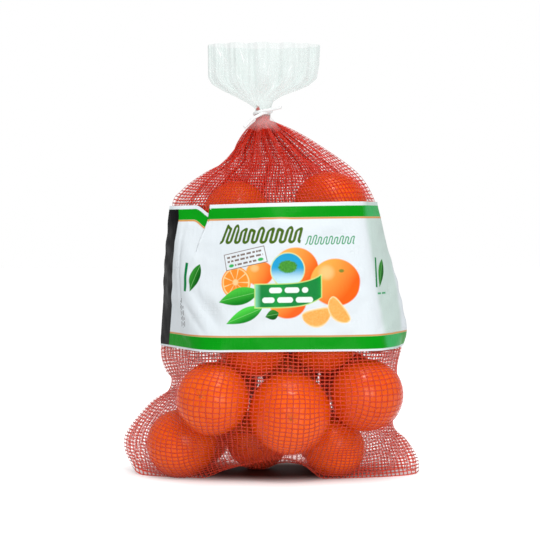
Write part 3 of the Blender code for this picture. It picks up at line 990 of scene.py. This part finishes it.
    def banner(self):
        left, right = bandPrint["bannerEnds"]
        rise = self.clamped((self.u - left) / (right - left)) ** 5
        away = outside(self.v, rise * 8.0 + 35.4, rise * 7.0 + 54.2)
        away = self.larger(away, outside(self.u, left, right))
        self.fill(away - 0.5, (0.50, 0.72, 0.22))
        cloth = self.mix(self.span(self.u, left, left + 5.5), (0.20, 0.62, 0.38), (0.004, 0.22, 0.04))
        folds = self.span(self.sine(self.u * 0.16 + 0.6), 0.2, 1.0) * 0.5
        self.fill(away + 0.35, self.mix(folds, cloth, (0.01, 0.36, 0.05)))
        for high, bars in bandPrint["bannerBars"]:
            for start, end in bars:
                past = self.larger(outside(self.u, start, end) + 2.2, 0.0)
                self.fill((past * past + (self.v - high) ** 2) ** 0.5 - 2.2, (0.80, 0.90, 0.84))

    def marks(self):
        for across, up in bandPrint["sideMarks"]:  # each a bar and a leaf
            x, y = turned(self.u, self.v, (across, up), -5)
            self.fill(self.larger(abs(x) - 1.3, abs(y) - 12.0), bandPrint["markGreen"])
            self.leaf((across + 4.0, up - 12.0), (across + 13.0, up + 10.5), 9.0, 0.5)
        for middle, half in ((96.0, 2.75), (104.0, 3.25)):
            away = self.larger(abs(self.u - middle) - half, abs(self.v - 45.0) - 0.7)
            self.fill(away, (0.05, 0.34, 0.14))
        for column, long in ((-83.0, 22.0), (-80.2, 26.0), (-77.4, 18.0)):
            dashes = self.span(self.sine(self.v * 2.1 + column) + self.sine(self.v * 1.3), -0.6, -0.3)
            dashes = dashes * self.within(self.v, 18.0, 18.0 + long)
            self.lay(dashes * self.within(self.u, column - 0.5, column + 0.5, 0.2), (0.10, 0.10, 0.11))

    def edges(self, shadeAndSheen):
        for low, high in bandPrint["orangeLines"]:
            self.lay(self.within(self.v, low, high, 0.45), bandPrint["lineOrange"])
        # painted sheen: the green stripes are painted paler on the right
        green = self.mix(shadeAndSheen * 0.8, bandPrint["stripeGreen"], (0.05, 0.42, 0.13))
        for low, high in bandPrint["greenStripes"]:
            self.lay(self.within(self.v, low, high, 0.25), green)
        bulge = self.sine(self.v * (math.pi / 119)) * 3.5
        strip = self.within(self.u - self.v * 0.21 - bulge, -138.0, -110.0)
        self.lay(strip * self.within(self.v, 1.6, 116.4), bandPrint["stripBlack"])


def bandMaterial():
    film = Print("printed band film")
    u = film.u
    v = film.v
    # painted shade and sheen: right of the fold the white is painted grey-green, and the green stripes
    # paler
    shadeAndSheen = film.span(u - (122.0 - v) * 0.15, 77.0, 86.0) * film.span(u, 124.0, 134.0, (1.0, 0.0))
    film.lay(shadeAndSheen * 0.85, (0.50, 0.62, 0.57))
    # painted shade: a soft grey patch along the crease at the lower left
    creaseShade = ovalAt(*turned(u, v, (-45.0, 35.0), -52), (0.0, 0.0), (19.0, 5.0))[2]
    film.lay(film.span(creaseShade, -5.0, 1.0, (0.55, 0.0)), (0.52, 0.56, 0.58))
    for flourish in bandPrint["flourishes"]:
        film.flourish(*flourish)
    behind, *others = bandPrint["wholeFruit"]
    film.fruit(*behind)
    film.slice((-28.0, 55.8), 12.6)
    for fruit in others:
        film.fruit(*fruit)
    film.fill(film.oval((58.5, 64.0), (2.2, 1.4))[2], (0.20, 0.22, 0.03), 0.5)
    film.segment((37.5, 28.4), 192, 24.0, 15.0)
    film.segment((55.5, 32.6), 128, 25.0, 13.0)
    film.stamp()
    for leaf in bandPrint["leaves"]:
        film.leaf(*leaf)
    film.disc()
    film.banner()
    film.marks()
    film.edges(shadeAndSheen)
    # the net shows through as faint knots pressed into the film
    lines = film.larger(abs(film.sine(u * (math.pi / 3.4))), abs(film.sine(v * (math.pi / 2.9))))
    knots = film.span(lines, 0.86, 1.0) * film.span(film.noise(film.flat, 0.05), 0.50, 0.72)
    wrinkles = film.noise(film.join(u, v * 0.35), 0.16, 3.0, 0.6)
    bump = film.bump(wrinkles * 0.9 + knots * 0.30, 0.0011, 0.5)
    roughness = film.noise(film.flat, 0.11) * 0.16 + 0.26
    film.set(baseColor=film.colour, roughness=roughness, normal=bump, specular=0.06)
    return film.material


def buildBand(surface):
    points, printed, outwards = bandSheet(surface)
    points = creased(points, printed, outwards)
    rows, columns = points.shape[:2]
    piece = addMesh("printed_band_sheet", points, gridFaces(rows, columns, False), bandMaterial())
    addNumbers(piece, "printPlace", printed.reshape(-1, 3))
    return piece


film = {
    "top": 361,
    "skirtBottom": 289,
    "collar": (301.0, 308.0),  # heights between which the tie holds it
    "collarRadius": 6.6,
    "leftEdge": [
        (-6.6, 308), (-12, 312), (-22, 317.5), (-34, 323), (-43, 328.5), (-46.2, 334), (-46.4, 361),
    ],
    "rightEdge": [
        (6.6, 308), (9, 314), (16, 318.5), (27, 322.5), (38.5, 327), (45.5, 333), (47.6, 345), (48.2, 361),
    ],
    "depth": 23,  # of its half
    "columns": 420,
    "rows": 74,
    "folds": 15,
    "foldDepth": 0.30,  # of the half depth
    "tint": (0.66, 0.77, 0.74),
    "haze": 0.36,
    "streaks": 0.26,
}


def filmRing(height, turn):
    # one ring of the film: gathered at the tie, flared and folded above it, a short skirt below it
    low, high = film["collar"]
    folds = 0.5 - 0.5 * np.sin(film["folds"] * turn + 1.3 * np.sin(2 * turn + 0.4) + 0.02 * (height - high))
    small = 0.5 - 0.5 * np.sin(43 * turn + 2.2 * np.sin(3 * turn) + 0.05 * (height - high))
    if height >= high:
        left = np.interp(height, *np.array(film["leftEdge"])[:, ::-1].T)
        right = np.interp(height, *np.array(film["rightEdge"])[:, ::-1].T)
        opened = (right - left - 2 * film["collarRadius"]) / 82
        deep = film["collarRadius"] + (film["depth"] - film["collarRadius"]) * opened
    else:
        slack = max(low - height, 0) / (low - film["skirtBottom"])
        left = -film["collarRadius"] - 9.5 * slack
        right = film["collarRadius"] + 11.0 * slack
        opened = 0.2 * slack
        deep = film["collarRadius"] + 8.5 * slack
    wave = 1 - film["foldDepth"] * opened * folds - 0.08 * opened * small
    x = net["neck"][0] + (left + right) / 2 + (right - left) / 2 * np.cos(turn)
    y = net["neck"][1] + deep * wave * np.sin(turn)
    return np.column_stack([x, y, np.full(len(turn), float(height))])


def filmMaterial():
    paint = Paint("clear film")
    place = paint.place()
    x, y, z = paint.split(place)
    x = x + 0.0075
    fan = paint.math("ARCTAN2", x, z - 0.285)  # the streaks spread from the tie
    streaks = paint.noise(paint.join(fan * 0.30, y * 1.5, z * 0.16), 42.0, 3.0, 0.65)
    clouds = paint.noise(place, 40.0, 3.0)
    glints = paint.span(paint.noise(paint.join(fan * 0.35, y * 2.0, z * 0.7), 80.0), 0.66, 0.74)
    gathered = paint.span(z, 0.316, 0.305)
    alpha = film["haze"] + (paint.span(streaks, 0.42, 0.68) - 0.4) * film["streaks"] * 0.45
    alpha = alpha + (clouds - 0.5) * 0.22 + glints * 0.25 + gathered * 0.12
    alpha = paint.clamped(alpha) * paint.span(z, 0.300, 0.303, (0.5, 1.0))  # the skirt is one thin layer
    alpha = alpha * paint.span(z, 0.287, 0.297, (0.1, 1.0))
    bump = paint.bump(streaks + clouds * 0.4, 0.0008, 0.4)
    # painted light: the skirt below the tie is painted near white, paler than the film above it
    tint = paint.mix(paint.span(z, 0.300, 0.303), (1.0, 0.92, 0.92), film["tint"])
    # painted highlight: the glints are painted white into the film's colour and made more opaque
    colour = paint.mix(glints, tint, (1.0, 1.0, 1.0))
    paint.set(baseColor=colour, roughness=0.3, alpha=alpha, normal=bump, ior=1.45, specular=0.35)
    return paint.material


def buildFilm():
    turn = turns(film["columns"])
    heights = np.linspace(film["skirtBottom"], film["top"], film["rows"])
    grid = np.array([filmRing(height, turn) for height in heights])
    slack = np.clip((grid[..., 2] - 312) / 20, 0, 1)
    grid[..., 1] += waves(grid * [1, 1, 0.5], 15, 61) * slack * 1.0
    grid[0, :, 2] += 2.6 * waves(grid[0] * 1.5, 20, 63)  # the skirt's ragged edge
    rows = film["rows"]
    return addMesh("clear_film_top", grid, gridFaces(rows, film["columns"], True), filmMaterial())


tie = {
    "radius": 0.8,
    "flatness": 1.7,  # how much taller than thick the ribbon is
    "turns": 1,
    "pitch": 2.1,
    "lean": 0.2,  # rise of its ring per unit across
    "start": 303.4,
    "ring": 7.6,
    "white": (0.86, 0.87, 0.87),
}


def tube(line, radius, flatness, sides):
    # closed tube along a line, taller than it is thick
    along = unit(np.gradient(line, axis=0))
    side = unit(np.cross(along, [0.12, 0.2, 1.0]))
    other = np.cross(side, along)
    turn = turns(sides)
    across = np.cos(turn)[None, :, None] * side[:, None]
    rings = line[:, None] + radius * (across + flatness * np.sin(turn)[None, :, None] * other[:, None])
    points = np.vstack([rings.reshape(-1, 3), line[:1], line[-1:]])
    faces = gridFaces(len(line), sides, True).tolist()
    count = len(line) * sides
    for i in range(sides):
        j = (i + 1) % sides
        faces.append([j, i, count])
        faces.append([count - sides + i, count - sides + j, count + 1])
    return points, faces


def buildTie():
    x, y = net["neck"]
    ring = tie["ring"]
    wound = np.linspace(0, tie["turns"], 33)
    angle = 2 * math.pi * wound - math.pi / 2
    rise = tie["start"] + tie["pitch"] * wound + tie["lean"] * ring * np.cos(angle)
    coil = np.column_stack([x + ring * np.cos(angle), y + ring * np.sin(angle), rise])
    firstEnd = [(x - ring - 8, y - ring - 3, rise[0] - 12), (x - ring - 1, y - ring - 2, rise[0] - 5)]
    lastEnd = [(x + ring, y - ring - 1, rise[-1] + 1.2), (x + ring + 8, y - ring - 3, rise[-1] + 2.6)]
    route = smoothCurve([*firstEnd, *coil, *lastEnd], 150)
    paint = Paint("white tie")
    grain = paint.noise(paint.place(), 500.0)
    paint.set(baseColor=paint.mix(grain, tie["white"], (0.76, 0.78, 0.78)), roughness=grain * 0.1 + 0.3)
    points, faces = tube(route, tie["radius"], tie["flatness"], 12)
    return addMesh("twist_tie", points, faces, paint.material)


studio = {
    "cameraPlace": (-0.0013, -1.1, 0.205),
    "cameraAim": (-0.0013, 0.0, 0.172),
    "lens": 87.3,
    "floorTone": 0.80,
    "worldStrength": 0.62,
    "lamps": {
        "keyLamp": ((0.08, -0.75, 1.1), (0.0, 0.0, 0.15), 0.2, 3.6),
        "fillLamp": ((0.25, -1.1, 0.2), (0.0, 0.0, 0.08), 0.5, 3.8),
        "topLamp": ((0.1, -0.1, 1.2), (0.0, 0.0, 0.2), 0.6, 3.6),
    },
}


def addAimed(name, data, place, aim):
    thing = bpy.data.objects.new(name, data)
    bpy.context.scene.collection.objects.link(thing)
    thing.location = place
    away = Vector(aim) - Vector(place)
    thing.rotation_euler = away.to_track_quat("-Z", "Y").to_euler()
    return thing


def seenDirectly(paint):
    rays = paint.node("LightPath")
    seen = paint.wire(rays, "Is Camera Ray") + paint.wire(rays, "Is Glossy Ray")
    return paint.clamped(seen + paint.wire(rays, "Is Transmission Ray"))


def buildStudio():
    world = bpy.data.worlds.new("studio")
    bpy.context.scene.world = world
    world.use_nodes = True
    nodes = world.node_tree.nodes
    link = world.node_tree.links.new
    background = nodes["Background"]
    background.inputs["Color"].default_value = (1, 1, 1, 1)
    rays = nodes.new("ShaderNodeLightPath")
    seen = nodes.new("ShaderNodeMath")
    seen.operation = "MAXIMUM"
    link(rays.outputs["Is Camera Ray"], seen.inputs[0])
    link(rays.outputs["Is Transmission Ray"], seen.inputs[1])
    strength = nodes.new("ShaderNodeMapRange")
    strength.inputs["To Min"].default_value = studio["worldStrength"]
    strength.inputs["To Max"].default_value = 1.0
    link(seen.outputs[0], strength.inputs["Value"])
    link(strength.outputs["Result"], background.inputs["Strength"])
    for name, (place, aim, size, power) in studio["lamps"].items():
        lamp = bpy.data.lights.new(name, "AREA")
        lamp.size = size
        lamp.energy = power
        addAimed(name, lamp, place, aim)
    paint = Paint("floor")
    tone = studio["floorTone"]
    x, y, _ = paint.split(paint.place())
    away = ((x / 0.13) ** 2 + ((y - 0.015) / 0.06) ** 2) ** 0.5
    # painted shadow: under the pack the floor's colour is painted dark red-brown and its glow for camera
    # rays fades out
    glowing = paint.mix(paint.span(away, 0.55, 1.25), (0.0, 0.0, 0.0), (1.0, 1.0, 1.0))
    under = paint.mix(paint.span(away, 0.35, 0.95), (0.07, 0.022, 0.016), (tone, tone, tone))
    paint.set(baseColor=under, roughness=0.7, specular=0.1)
    glow = paint.node("Emission", None, {"Color": glowing})
    paint.feed(paint.find(glow.inputs, "Strength"), seenDirectly(paint) * 0.55)
    both = paint.node("AddShader")
    link = paint.tree.links.new
    link(paint.shader.outputs[0], both.inputs[0])
    link(glow.outputs[0], both.inputs[1])
    link(both.outputs[0], paint.output.inputs["Surface"])
    far = 6000
    points = [(-far, -far, 0), (far, -far, 0), (far, far, 0), (-far, far, 0)]
    floor = addMesh("floor", points, [(0, 1, 2, 3)], paint.material, False)
    camera = bpy.data.cameras.new("camera")
    camera.lens = studio["lens"]
    bpy.context.scene.camera = addAimed("camera", camera, studio["cameraPlace"], studio["cameraAim"])
    bpy.context.scene.view_settings.view_transform = "Standard"


fruit = settleFruit()
print("mandarins settled")
fruitPieces = buildFruit(fruit)
print("mandarins built")
surface = bandSurface(fruit, 40, net["columns"] * 2)
netPieces = buildNet(netGrid(fruit, surface), fruit)
print("net built")
sheet = buildBand(surface)
print("printed band built")
clearFilm = buildFilm()
twistTie = buildTie()
print("film and tie built")
for piece in [*fruitPieces, *netPieces]:
    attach(piece, "root")
for piece, node, slot in ((sheet, "printed_band", "band_film"), (clearFilm, "film_top", "clear_film"),
                          (twistTie, "neck_tie", "tie")):
    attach(piece, "root")
    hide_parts(node)
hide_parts("net_of_fruit")
buildStudio()
print("studio built")
